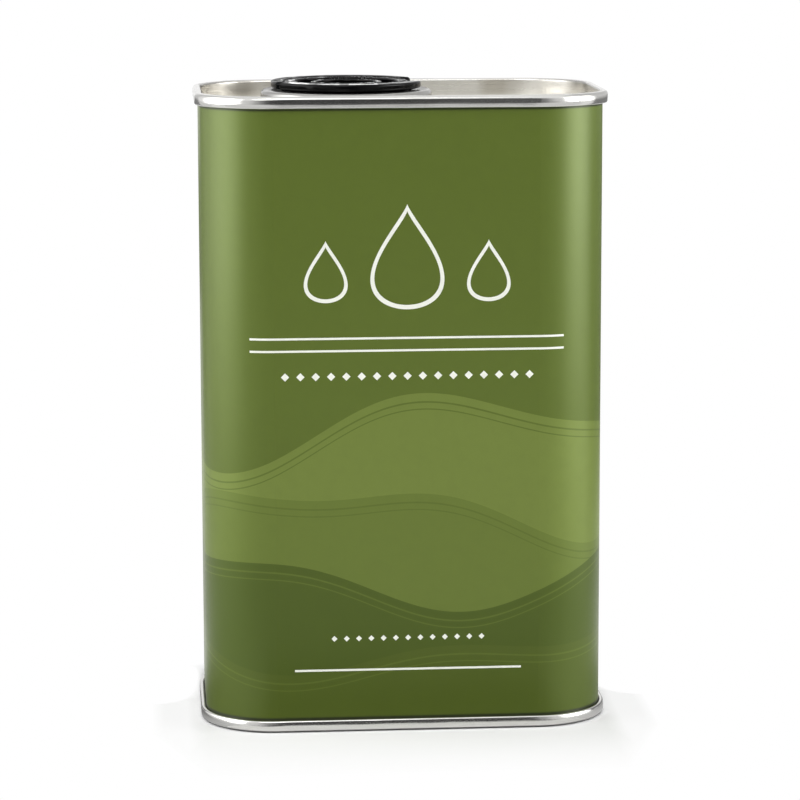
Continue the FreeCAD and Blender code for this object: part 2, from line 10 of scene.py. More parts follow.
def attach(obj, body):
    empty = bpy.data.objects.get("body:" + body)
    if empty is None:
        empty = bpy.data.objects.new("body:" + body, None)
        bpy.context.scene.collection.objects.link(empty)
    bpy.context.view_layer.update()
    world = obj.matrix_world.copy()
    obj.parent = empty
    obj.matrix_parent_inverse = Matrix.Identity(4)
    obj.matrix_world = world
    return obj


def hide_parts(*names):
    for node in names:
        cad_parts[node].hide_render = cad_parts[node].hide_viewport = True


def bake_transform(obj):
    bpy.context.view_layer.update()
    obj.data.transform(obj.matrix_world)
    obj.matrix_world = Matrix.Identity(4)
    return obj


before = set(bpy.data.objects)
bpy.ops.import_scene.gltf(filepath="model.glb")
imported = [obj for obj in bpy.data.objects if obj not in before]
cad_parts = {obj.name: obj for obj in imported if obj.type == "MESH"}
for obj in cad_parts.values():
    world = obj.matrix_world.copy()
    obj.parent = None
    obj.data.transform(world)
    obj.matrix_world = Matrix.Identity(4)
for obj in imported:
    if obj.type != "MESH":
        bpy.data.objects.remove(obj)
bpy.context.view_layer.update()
scene = bpy.context.scene
MM = 0.001

# Sizes shared with the solids, in millimetres.
TIN_WIDTH = 85.0
TIN_DEPTH = 51.0
TIN_HEIGHT = 134.4
CORNER_RADIUS = 14.8
SEAM_HEIGHT = 2.6
PANEL_LEVEL = 130.4
FLAT_X = TIN_WIDTH / 2 - CORNER_RADIUS
FLAT_Y = TIN_DEPTH / 2 - CORNER_RADIUS
FACE_LENGTH = 2 * (FLAT_X + FLAT_Y) + math.pi * CORNER_RADIUS
SPOUT_X = -11.0
CONE_TOP = 130.7
CONE_FOOT = 119.3
CONE_TOP_RADIUS = 14.0
CONE_FOOT_RADIUS = 12.6
CONE_WALL = 0.8

# The screw threads: lead in millimetres, start, steps in a turn, and part of a turn in which an end runs out.
THREAD_LEAD = 3.0
THREAD_START = math.radians(28.0)
THREAD_STEPS = 96
THREAD_RUN_OUT = 0.25

# Where the floor's shadow fades in front of the tin, in metres. Behind it, it fades REAR_HASTE times as fast.
# Beside it, it fades SIDE_HASTE times as fast, faster towards the back, and loses SIDE_LOSS within SIDE_EDGE.
SHADOW_REACH = (0.003, 0.035)
REAR_HASTE = 3.0
SIDE_HASTE = 3.0
SIDE_HASTE_GROWTH = 1000.0
SIDE_HASTE_DECAY = 4.0
SIDE_EDGE = 0.004
SIDE_LOSS = 0.75

# Tones of the floor and of the cards, and the lamps' strengths in watts.
FLOOR_COLOUR = (0.85, 0.85, 0.85, 1.0)
FLOOR_ROUGHNESS = 0.7
RUNNER_TONE = 0.80
DARK_TONE = 0.05
BLACK_TONE = 0.01
SIDE_STRIP_TONES = {"left": 0.25, "right": 0.45}
SIDE_STRIP_END_TONE = 0.90
FLAG_TONE = 0.25
FLAG_HEAD_TONE = 0.70
GLINT_TONE = 4.0
WORLD_LIGHT = 0.33
LEFT_WATTS = 2.0
RIGHT_WATTS = 4.3
KEY_WATTS = 3.5

# Places in the studio, in metres.
FLOOR_REACH = 12.0
CARD_LIFT = 0.0005
TABLE_HALF = 0.8
STRIP_HALF = 0.045
STRIP_FADE = (0.030, 0.045)
STRIP_NEAR = 0.0325
STRIP_FAR = 0.075
RUNNER_FAR = 0.67
TABLE_FAR = 1.30
WALL_HALF = 1.5
WALL_HEAD = 0.60
WALL_FADE = (0.12, 0.80)
SIDE_STRIP_NEAR = 0.0385
SIDE_STRIP_HALF = 0.032
SIDE_STRIP_FADE = (0.008, 0.032)
FLAG_ASIDE = 0.19
FLAG_LEFT_NEAR = 0.17
FLAG_RIGHT_NEAR = 0.02
FLAG_FAR = 0.60
FLAG_HEAD = 0.5
FLAG_FADE = (0.105, 0.14)
CLOSURE_FLAG_X = (-0.036, 0.012)
CLOSURE_FLAG_Y = 0.05
CLOSURE_FLAG_FOOT = 0.130
CLOSURE_FLAG_HEAD = 0.1398
GLINT_HEAD = 0.1412
GLINTS = {"left": (-0.0210, -0.0164), "middle": (-0.0145, -0.0095), "right": (-0.0073, -0.0008)}
BOX_CENTRE = 0.265
BOX_HEIGHT = 0.45
LEFT_BOX_Y = -0.055


def srgb(red, green, blue):
    """A colour of 0 to 255, as it is seen, in the renderer's linear numbers."""
    linear = []
    for value in (red, green, blue):
        part = value / 255
        linear.append(part / 12.92 if part <= 0.04045 else ((part + 0.055) / 1.055) ** 2.4)
    return (*linear, 1.0)


class Field:
    """A value in a material's node tree that can be used in sums."""

    def __init__(self, tree, socket):
        self.tree = tree
        self.socket = socket

    def math(self, operation, *others):
        """What a math node makes of this value and others."""
        node = self.tree.nodes.new("ShaderNodeMath")
        node.operation = operation
        self.tree.links.new(self.socket, node.inputs[0])
        for index, other in enumerate(others, start=1):
            if isinstance(other, Field):
                self.tree.links.new(other.socket, node.inputs[index])
            else:
                node.inputs[index].default_value = other
        return Field(self.tree, node.outputs[0])

    def __add__(self, other):
        return self.math("ADD", other)

    def __sub__(self, other):
        return self.math("SUBTRACT", other)

    def __mul__(self, other):
        return self.math("MULTIPLY", other)

    def __truediv__(self, other):
        return self.math("DIVIDE", other)

    def __abs__(self):
        return self.math("ABSOLUTE")

    def __lt__(self, other):
        return self.math("LESS_THAN", other)

    def __gt__(self, other):
        return self.math("GREATER_THAN", other)

    def least(self, other):
        return self.math("MINIMUM", other)

    def most(self, other):
        return self.math("MAXIMUM", other)

    def sine(self):
        return self.math("SINE")

    def ramp(self, low, high, to_low=0.0, to_high=1.0):
        """The value carried from low..high to another range, with its ends held."""
        node = self.tree.nodes.new("ShaderNodeMapRange")
        self.tree.links.new(self.socket, node.inputs["Value"])
        for name, number in zip(("From Min", "From Max", "To Min", "To Max"), (low, high, to_low, to_high)):
            node.inputs[name].default_value = number
        return Field(self.tree, node.outputs["Result"])


class Surface:
    """A material being built: its principled shader and the fields that feed it."""

    def __init__(self, name):
        self.material = bpy.data.materials.new(name)
        self.material.use_nodes = True
        self.tree = self.material.node_tree
        self.shader = self.tree.nodes["Principled BSDF"]
        coordinates = self.tree.nodes.new("ShaderNodeTexCoord")
        scaled = self.tree.nodes.new("ShaderNodeVectorMath")
        scaled.operation = "SCALE"
        scaled.inputs["Scale"].default_value = 1000.0
        self.tree.links.new(coordinates.outputs["Object"], scaled.inputs[0])
        self.point = scaled.outputs["Vector"]

    def axes(self):
        """The point's x, y and z in millimetres."""
        split = self.tree.nodes.new("ShaderNodeSeparateXYZ")
        self.tree.links.new(self.point, split.inputs[0])
        return [Field(self.tree, split.outputs[i]) for i in range(3)]

    def noise(self, scale, detail=3.0, roughness=0.55, stretch=None):
        """Noise with scale features a millimetre, drawn out by stretch along the axes."""
        point = self.point
        if stretch is not None:
            mapping = self.tree.nodes.new("ShaderNodeMapping")
            mapping.inputs["Scale"].default_value = stretch
            self.tree.links.new(point, mapping.inputs["Vector"])
            point = mapping.outputs["Vector"]
        node = self.tree.nodes.new("ShaderNodeTexNoise")
        node.inputs["Scale"].default_value = scale
        node.inputs["Detail"].default_value = detail
        node.inputs["Roughness"].default_value = roughness
        self.tree.links.new(point, node.inputs["Vector"])
        return Field(self.tree, node.outputs["Fac"])

    def mix(self, first, second, factor):
        """A colour between two colours, each given as a socket or as numbers."""
        node = self.tree.nodes.new("ShaderNodeMix")
        node.data_type = "RGBA"
        for socket, colour in ((node.inputs["A"], first), (node.inputs["B"], second)):
            self.put(socket, colour)
        self.put(node.inputs["Factor"], factor)
        return node.outputs["Result"]

    def put(self, socket, value):
        """Feeds a socket from a field, from another socket or with plain numbers."""
        if isinstance(value, Field):
            value = value.socket
        if isinstance(value, bpy.types.NodeSocket):
            self.tree.links.new(value, socket)
        else:
            socket.default_value = value

    def set(self, **values):
        """Sets the shader's inputs, whose names are written with _ for a space."""
        for name, value in values.items():
            self.put(self.shader.inputs[name.replace("_", " ")], value)

    def bump(self, *layers):
        """Stacks bump layers, each a field, its depth in millimetres."""
        below = None
        for height, depth in layers:
            node = self.tree.nodes.new("ShaderNodeBump")
            node.inputs["Distance"].default_value = depth * MM
            self.tree.links.new(height.socket, node.inputs["Height"])
            if below is not None:
                self.tree.links.new(below, node.inputs["Normal"])
            below = node.outputs["Normal"]
        self.tree.links.new(below, self.shader.inputs["Normal"])


# The print: inks, mottling, painted shade in the crevices at the seams and its skin. Lengths are in
# millimetres.
FIELD_GREEN = srgb(88, 104, 34)
FOOT_GREEN = srgb(77, 92, 24)
PALE_GREEN = srgb(108, 124, 52)
SOFT_GREEN = srgb(98, 114, 43)
DEEP_GREEN = srgb(72, 88, 20)
WHITE_INK = srgb(240, 242, 232)
MOTTLE_GREEN = srgb(70, 84, 30)
MOTTLE_SHARE = 0.10
# Painted shade next to the seams: its colour, how far it reaches and how strong it is.
SEAM_CREVICE_SHADE = srgb(26, 30, 12)
SEAM_CREVICE_SHADE_REACH = (0.2, 0.6)
SEAM_CREVICE_SHADE_SHARE = 0.9
PRINT_METALLIC = 0.2
PRINT_SPECULAR = 0.4
PRINT_ROUGHNESS = (0.30, 0.37)
PRINT_GRAIN_DEPTH = 0.003
PANEL_DENT_DEPTH = 0.2

# Bare metal: the margin and its weld, the satin recess with painted reflection bands and painted shade at its
# ends, and painted shade at the foot. Lengths are in millimetres.
MARGIN_WIDTH = 5.2
MARGIN_GAIN = 0.4
WELD_WIDTH = 0.9
BARE_TIN = srgb(150, 148, 142)
WELD_LIGHT = srgb(104, 102, 98)
WELD_DARK = srgb(78, 76, 72)
# Painted shade at the foot, where the rim meets the floor: its colour, reach and strength.
FOOT_CONTACT_SHADE = srgb(24, 23, 22)
FOOT_CONTACT_SHADE_REACH = (0.25, 0.6)
FOOT_CONTACT_SHADE_SHARE = 0.95
SATIN_TIN = srgb(232, 230, 224)
# The darker tin of the painted reflection bands in the recess.
SATIN_SHADE = srgb(196, 191, 180)
# Painted shade at the two ends of the recess: its colour, reach and strength.
SATIN_END_SHADE = srgb(132, 130, 126)
SATIN_ROUGHNESS = 0.18
SATIN_EDGE = (-0.65, -0.35)
SATIN_END_SHADE_REACH = (34.0, 39.5)
SATIN_END_SHADE_SHARE = 0.8
STREAK_SHARE = 0.6
CROWN_REACH = (26.0, 36.0)
CROWN_DEPTH = 0.2
STREAK_DEPTH = 0.006

# Black plastic.
BLACK = srgb(4, 4, 5)
BLACK_FLOW = srgb(8, 8, 9)
PLASTIC_IOR = 1.51
PLASTIC_SPECULAR = 0.12

# The ground of the print is painted darker towards the foot as painted shade: from the foot's green to the
# field's between these heights, in millimetres.
GROUND_SHADE_FADE = (0.0, 70.0)
# Waves of the print: level, swell and its start, ripple and its start, ink. Lengths are in millimetres.
WAVES = [
    (64.0, 7.5, 0.9, 2.4, 2.0, PALE_GREEN),
    (47.0, 5.5, 2.6, 2.8, 0.4, SOFT_GREEN),
    (33.0, 5.5, 4.2, 2.2, 3.5, DEEP_GREEN),
    (17.0, 3.0, 5.6, 2.0, 1.2, FOOT_GREEN),
]
# Two fine lines under each wave's edge: how far below it, and width.
WAVE_LINES = [(1.9, 0.35), (3.4, 0.25)]
# Drops: middle across and up, half height, width of the line. A higher DROP_POINT makes a slimmer tip.
DROPS = [(0.0, 101.0, 11.0, 0.8), (-17.0, 98.0, 6.5, 0.7), (17.0, 98.0, 6.5, 0.7)]
DROP_POINT = 1.5
DROP_INNER_SINK = 0.35
DROP_INNER_SHRINK = 1.5
# Rules: level and half length.
RULES = [(84.0, 33.0), (81.4, 33.0), (13.2, 24.0)]
RULE_WIDTH = 0.45
# Rows of diamonds: level, half length, pitch, half diagonal.
DIAMONDS = [(76.0, 27.2, 3.2, 0.868), (20.0, 16.9, 2.6, 0.63)]


def wrap_round(x, y):
    """Distance round the tin from the middle of the nearer broad face: both faces carry the same print."""
    facing = y.math("SIGN") * -1.0
    across = x * facing
    width, depth = abs(x), abs(y)
    turn = (width - FLAT_X).most(0.0).math("ARCTAN2", (depth - FLAT_Y).most(0.0))
    side_run = (depth.least(FLAT_Y) * -1.0) + FLAT_Y
    return across.math("SIGN") * (width.least(FLAT_X) + turn * CORNER_RADIUS + side_run)


def stroke(distance, width):
    """1 where a distance is within half a stroke of zero."""
    return abs(distance) < width / 2


def drop_edge(u, v, centre_u, centre_v, half_height):
    """Signed distance, along the width, from the outline of a hanging drop."""
    level = ((v - centre_v) / half_height).most(-1.0).least(1.0)
    turn = level.math("ARCCOSINE")
    half_width = turn.sine() * (turn * 0.5).sine().math("POWER", DROP_POINT) * half_height
    return abs(u - centre_u) - half_width


def drop_outline(u, v, centre_u, centre_v, half_height, width):
    """1 on the outline of a drop: inside the drop, outside a smaller one."""
    outer = drop_edge(u, v, centre_u, centre_v, half_height) < 0.0
    inner_v = centre_v - width * DROP_INNER_SINK
    inner = drop_edge(u, v, centre_u, inner_v, half_height - width * DROP_INNER_SHRINK) < 0.0
    return outer * (inner * -1.0 + 1.0)


def wave_colour(surface, u, z):
    """The green ground, darkened with painted shade towards the foot, with its waves, each with two fine
    lines inside its edge.
    """
    # Painted shade: the ground goes darker towards the foot.
    colour = surface.mix(FOOT_GREEN, FIELD_GREEN, z.ramp(*GROUND_SHADE_FADE))
    turn = u * (math.tau / FACE_LENGTH)
    for level, swell, start, ripple, ripple_start, ink in WAVES:
        edge = (turn + start).sine() * swell + (turn * 2.0 + ripple_start).sine() * ripple
        below = edge + level - z
        colour = surface.mix(colour, ink, below > 0.0)
        for sink, width in WAVE_LINES:
            colour = surface.mix(colour, FIELD_GREEN, stroke(below - sink, width))
    return colour


def white_ink(u, z):
    """1 where the drops, rules and rows of diamonds are printed."""
    shapes = [drop_outline(u, z, *drop) for drop in DROPS]
    for level, reach in RULES:
        shapes.append(stroke(z - level, RULE_WIDTH) * (abs(u) < reach))
    for level, reach, pitch, radius in DIAMONDS:
        along = abs((u + pitch / 2).math("FLOORED_MODULO", pitch) - pitch / 2)
        shapes.append((along + abs(z - level) < radius) * (abs(u) < reach))
    white = shapes[0]
    for shape in shapes[1:]:
        white = white.most(shape)
    return white


def printed_tinplate():
    """The printed wrapper, with painted shade in the crevices at the seams and a bare welded margin at one
    side.
    """
    surface = Surface("printed_tinplate")
    x, y, z = surface.axes()
    u = wrap_round(x, y)
    colour = surface.mix(wave_colour(surface, u, z), WHITE_INK, white_ink(u, z))
    mottle = surface.noise(0.35, detail=4.0)
    colour = surface.mix(colour, MOTTLE_GREEN, mottle.ramp(0.45, 0.85, 0.0, MOTTLE_SHARE))
    # Painted shade: the print darkens close to both seams, where they overhang it.
    crevice = (z - SEAM_HEIGHT).least(z * -1.0 + (TIN_HEIGHT - SEAM_HEIGHT))
    colour = surface.mix(colour, SEAM_CREVICE_SHADE, crevice.ramp(*SEAM_CREVICE_SHADE_REACH, SEAM_CREVICE_SHADE_SHARE, 0.0))
    margin = stroke(y, MARGIN_WIDTH) * (x > 0.0)
    beads = surface.noise(1.0, detail=2.0, stretch=(0.2, 0.2, 1.6))
    weld = surface.mix(WELD_LIGHT, WELD_DARK, beads.ramp(0.4, 0.6))
    colour = surface.mix(colour, surface.mix(BARE_TIN, weld, stroke(y, WELD_WIDTH)), margin)
    surface.set(
        Base_Color=colour,
        Metallic=margin * MARGIN_GAIN + PRINT_METALLIC,
        Roughness=surface.noise(1.2, detail=4.0).ramp(0.3, 0.7, *PRINT_ROUGHNESS),
        Specular_IOR_Level=PRINT_SPECULAR,
    )
    dents = surface.noise(0.03, detail=1.0)
    skin = surface.noise(2.2, detail=2.0)
    surface.bump((dents, PANEL_DENT_DEPTH), (skin, PRINT_GRAIN_DEPTH))
    return surface.material


def outline_distance(x, y):
    """Distance outwards from the tin's outline, less than zero inside it."""
    across, along = abs(x) - FLAT_X, abs(y) - FLAT_Y
    corner = (across.most(0.0).math("POWER", 2.0) + along.most(0.0).math("POWER", 2.0)).math("SQRT")
    return corner + across.most(along).least(0.0) - CORNER_RADIUS


def bright_tinplate(name, grain, colour, dull, roughness, waviness, recess=0.0):
    """Rolled tinplate: a soft mirror with fine streaks, satin in the recess with painted reflection bands and
    painted shade at its ends, and painted shade at the foot.
    """
    surface = Surface(name)
    x, y, z = surface.axes()
    streaks = surface.noise(1.0, detail=5.0, roughness=0.65, stretch=grain)
    wander = surface.noise(0.07, detail=2.0)
    satin = outline_distance(x, y).ramp(*SATIN_EDGE, recess, 0.0)
    low, high = roughness
    bright = surface.mix(srgb(*colour), srgb(*dull), streaks.ramp(0.4, 0.75, 0.0, STREAK_SHARE))
    # Painted reflection: soft upright bands of darker tin on the recess, strongest on its wall and faint on
    # the panel.
    reflection_bands = surface.noise(1.0, detail=1.0, stretch=(0.09, 0.05, 0.02))
    shade = reflection_bands.ramp(0.4, 0.62) * z.ramp(PANEL_LEVEL + 0.2, PANEL_LEVEL + 1.0, 0.2, 1.0)
    recess_tin = surface.mix(SATIN_TIN, SATIN_SHADE, shade)
    # Painted shade: the recess wall darkens towards its two ends.
    end = abs(x).ramp(*SATIN_END_SHADE_REACH, 0.0, SATIN_END_SHADE_SHARE) * (z > PANEL_LEVEL)
    recess_tin = surface.mix(recess_tin, SATIN_END_SHADE, end)
    bright = surface.mix(bright, recess_tin, satin)
    # The foot of the rim is darkened with painted shade where it meets the floor.
    surface.set(
        Base_Color=surface.mix(bright, FOOT_CONTACT_SHADE, z.ramp(*FOOT_CONTACT_SHADE_REACH, FOOT_CONTACT_SHADE_SHARE, 0.0)),
        Metallic=1.0,
        Roughness=streaks.ramp(0.3, 0.75, low, high) + satin * SATIN_ROUGHNESS,
    )
    from_seam = abs(z - TIN_HEIGHT / 2) - (TIN_HEIGHT - SEAM_HEIGHT) / 2
    crown = (from_seam / (SEAM_HEIGHT / 2)).math("POWER", 2.0)
    corner = abs(x).ramp(*CROWN_REACH, 0.0, -1.0) * (satin * -1.0 + 1.0)
    fine = streaks * (satin * -0.9 + 1.0)
    surface.bump((wander, waviness), (crown * corner, CROWN_DEPTH), (fine, STREAK_DEPTH))
    return surface.material


def black_moulding(name, roughness, depth, sink=0.0):
    """Black polyethylene with a fine moulded skin, faint flow marks and, where given, shallow sink marks."""
    surface = Surface(name)
    skin = surface.noise(3.5, detail=3.0)
    flow = surface.noise(0.25, detail=2.0)
    surface.set(
        Base_Color=surface.mix(BLACK, BLACK_FLOW, flow.ramp(0.35, 0.7)),
        Roughness=skin.ramp(0.3, 0.7, roughness - 0.03, roughness + 0.04),
        IOR=PLASTIC_IOR,
        Specular_IOR_Level=PLASTIC_SPECULAR,
    )
    surface.bump((surface.noise(0.22, detail=1.0), sink), (skin, depth))
    return surface.material


def soft_filling(name, colour, dark):
    """Sealing compound or foam, dull and fine-celled."""
    surface = Surface(name)
    cells = surface.noise(4.0, detail=4.0)
    surface.set(
        Base_Color=surface.mix(srgb(*colour), srgb(*dark), cells.ramp(0.4, 0.75)),
        Roughness=cells.ramp(0.2, 0.8, 0.6, 0.8),
    )
    surface.bump((cells, 0.03))
    return surface.material


def dress_nodes():
    """Gives every node of the frame its finish."""
    rim = bright_tinplate(
        "bright_tinplate",
        grain=(0.06, 0.06, 3.2),
        colour=(218, 217, 214),
        dull=(194, 193, 190),
        roughness=(0.11, 0.20),
        waviness=0.15,
        recess=1.0,
    )
    crimp = bright_tinplate(
        "crimp_metal",
        grain=(0.5, 0.5, 2.5),
        colour=(182, 181, 178),
        dull=(164, 162, 158),
        roughness=(0.20, 0.28),
        waviness=0.05,
    )
    spout = black_moulding("spout_plastic", roughness=0.20, depth=0.003)
    cap = black_moulding("cap_plastic", roughness=0.08, depth=0.0003, sink=0.10)
    bail = black_moulding("bail_plastic", roughness=0.08, depth=0.0003, sink=0.08)
    compound = soft_filling("seam_compound", (168, 160, 140), (140, 132, 112))
    finishes = {
        "body_shell": printed_tinplate(),
        "top_end": rim,
        "bottom_end": rim,
        "top_seam_compound": compound,
        "bottom_seam_compound": compound,
        "crimp_ring": crimp,
        "spout_flange": spout,
        "spout_cone": spout,
        "spout_neck": spout,
        "tear_seal": spout,
        "cap": cap,
        "cap_liner": soft_filling("liner_foam", (232, 231, 226), (214, 212, 206)),
        "rear_bail": bail,
        "front_bail": bail,
    }
    for name, material in finishes.items():
        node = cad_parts[name]
        node.data.materials.clear()
        node.data.materials.append(material)
    return finishes


def mesh_piece(name, rings, material, closed_rows=True):
    """A smooth closed mesh from rings of points, joined ring to ring."""
    mesh = bpy.data.meshes.new(name)
    count = len(rings[0])
    points = [point for ring in rings for point in ring]
    faces = []
    rows = len(rings) if closed_rows else len(rings) - 1
    for row in range(rows):
        here, there = row * count, ((row + 1) % len(rings)) * count
        for i in range(count):
            j = (i + 1) % count
            faces.append((here + i, here + j, there + j, there + i))
    mesh.from_pydata(points, [], faces)
    mesh.polygons.foreach_set("use_smooth", [True] * len(mesh.polygons))
    mesh.materials.append(material)
    piece = bpy.data.objects.new(name, mesh)
    scene.collection.objects.link(piece)
    return piece


def fix_normals(piece):
    """Turns every face of a closed piece outwards."""
    shape = bmesh.new()
    shape.from_mesh(piece.data)
    bmesh.ops.recalc_face_normals(shape, faces=shape.faces)
    shape.to_mesh(piece.data)
    shape.free()


def spout_point(radius, angle, height):
    """A point about the spout's axis, in metres, from millimetres."""
    return (
        (SPOUT_X + radius * math.cos(angle)) * MM,
        radius * math.sin(angle) * MM,
        height * MM,
    )


def build_cone(material):
    """The folding wall, as a smooth mesh of fine rings that takes the place of the solid cone, which is
    hidden.
    """
    steps, around = 36, 128
    profile = []
    for side, order in ((0.0, 1), (CONE_WALL, -1)):
        run = []
        for i in range(steps + 1):
            part = i / steps
            radius = CONE_TOP_RADIUS + (CONE_FOOT_RADIUS - CONE_TOP_RADIUS) * part + side
            run.append((radius, CONE_TOP + (CONE_FOOT - CONE_TOP) * part))
        profile += run[::order]
    rings = [
        [spout_point(radius, math.tau * k / around, height) for k in range(around)]
        for radius, height in profile
    ]
    cone = mesh_piece("spout_cone_wall", rings, material)
    fix_normals(cone)
    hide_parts("spout_cone")
    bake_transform(cone)


def build_thread(name, material, body, root, crest, low, turns):
    """A screw thread: a rounded ridge that winds up a wall and fades out at both ends."""
    steps = int(turns * THREAD_STEPS)
    half_foot, half_crest = 0.75, 0.3
    least_rise, buried = 0.04, 0.25
    rings = []
    for i in range(steps + 1):
        part = i / steps
        angle = THREAD_START + math.tau * turns * part
        height = low + THREAD_LEAD * turns * part
        fade = min(1.0, part * turns / THREAD_RUN_OUT, (1 - part) * turns / THREAD_RUN_OUT)
        tip = root + (crest - root) * max(fade, least_rise)
        sink = root - math.copysign(buried, crest - root)
        section = [
            (sink, -half_foot),
            (root, -half_foot),
            (tip, -half_crest),
            (tip, half_crest),
            (root, half_foot),
            (sink, half_foot),
        ]
        rings.append([spout_point(radius, angle, height + rise) for radius, rise in section])
    piece = mesh_piece(name, rings, material, closed_rows=False)
    count = len(rings[0])
    shape = bmesh.new()
    shape.from_mesh(piece.data)
    shape.verts.ensure_lookup_table()
    for first in (0, steps * count):
        shape.faces.new([shape.verts[first + k] for k in range(count)])
    shape.to_mesh(piece.data)
    shape.free()
    fix_normals(piece)
    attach(piece, body)


def add_sheet(name, corners, material):
    """A flat four-cornered sheet of the studio, which is no part of the tin."""
    mesh = bpy.data.meshes.new(name)
    mesh.from_pydata(corners, [], [(0, 1, 2, 3)])
    mesh.materials.append(material)
    sheet = bpy.data.objects.new(name, mesh)
    scene.collection.objects.link(sheet)
    return sheet


def upright(x, y, foot, head):
    """Corners of an upright sheet between two points in plan, given as two xs and two ys."""
    return [(x[0], y[0], foot), (x[1], y[1], foot), (x[1], y[1], head), (x[0], y[0], head)]


def laid_between(x, y, lift=CARD_LIFT):
    """Corners of a level sheet between two xs and two ys."""
    return [(x[0], y[0], lift), (x[1], y[0], lift), (x[1], y[1], lift), (x[0], y[1], lift)]


def laid(half_width, near, far):
    """Corners of a card across the middle of the floor."""
    return laid_between((-half_width, half_width), (near, far))


def seen_in_picture(tree):
    """1 for what the camera sees, straight or in a gloss or through glass."""
    path = tree.nodes.new("ShaderNodeLightPath")
    seen = Field(tree, path.outputs["Is Camera Ray"])
    for name in ("Is Glossy Ray", "Is Transmission Ray"):
        seen = seen.most(Field(tree, path.outputs[name]))
    return seen


def build_floor():
    """A pale floor that keeps the shadow near the tin and is plain white further off."""
    material = bpy.data.materials.new("floor_white")
    material.use_nodes = True
    tree = material.node_tree
    shader = tree.nodes["Principled BSDF"]
    shader.inputs["Base Color"].default_value = FLOOR_COLOUR
    shader.inputs["Roughness"].default_value = FLOOR_ROUGHNESS
    shader.inputs["Specular IOR Level"].default_value = 0.0
    glow = tree.nodes.new("ShaderNodeEmission")
    glow.inputs["Strength"].default_value = 1.0
    split = tree.nodes.new("ShaderNodeSeparateXYZ")
    tree.links.new(tree.nodes.new("ShaderNodeTexCoord").outputs["Object"], split.inputs[0])
    x, y = Field(tree, split.outputs["X"]), Field(tree, split.outputs["Y"])
    beside = (abs(x) - TIN_WIDTH / 2 * MM).most(0.0)
    before = (y * -1.0 - TIN_DEPTH / 2 * MM).most(0.0)
    behind = (y - TIN_DEPTH / 2 * MM).most(0.0)
    haste = (y - behind * SIDE_HASTE_DECAY).most(0.0) * SIDE_HASTE_GROWTH + SIDE_HASTE
    away = (beside * haste + before + behind * REAR_HASTE).ramp(*SHADOW_REACH)
    away = away.most(beside.ramp(0.0, SIDE_EDGE, 0.0, SIDE_LOSS))
    blend = tree.nodes.new("ShaderNodeMixShader")
    tree.links.new((seen_in_picture(tree) * away).socket, blend.inputs["Fac"])
    tree.links.new(shader.outputs["BSDF"], blend.inputs[1])
    tree.links.new(glow.outputs["Emission"], blend.inputs[2])
    tree.links.new(blend.outputs["Shader"], tree.nodes["Material Output"].inputs["Surface"])
    add_sheet("floor", laid_between((-FLOOR_REACH, FLOOR_REACH), (-FLOOR_REACH, FLOOR_REACH), 0.0), material)


def card_material(name, tone, edge_tone=None, fade=(0.0, 1.0), axis="X"):
    """A plain grey card, of an even tone or fading to another one away from its middle along an axis."""
    material = bpy.data.materials.new(name)
    material.use_nodes = True
    tree = material.node_tree
    tree.nodes.remove(tree.nodes["Principled BSDF"])
    grey = tree.nodes.new("ShaderNodeEmission")
    tree.links.new(grey.outputs["Emission"], tree.nodes["Material Output"].inputs["Surface"])
    if edge_tone is None:
        grey.inputs["Strength"].default_value = tone
    else:
        split = tree.nodes.new("ShaderNodeSeparateXYZ")
        tree.links.new(tree.nodes.new("ShaderNodeTexCoord").outputs["Object"], split.inputs[0])
        level = abs(Field(tree, split.outputs[axis])).ramp(*fade, tone, edge_tone)
        tree.links.new(level.socket, grey.inputs["Strength"])
    return material


def add_card(name, corners, material):
    """A card that only shapes reflections: it neither shows in the picture nor takes light from the tin."""
    card = add_sheet(name, corners, material)
    card.visible_camera = False
    card.visible_diffuse = False
    card.visible_transmission = False
    card.visible_shadow = False


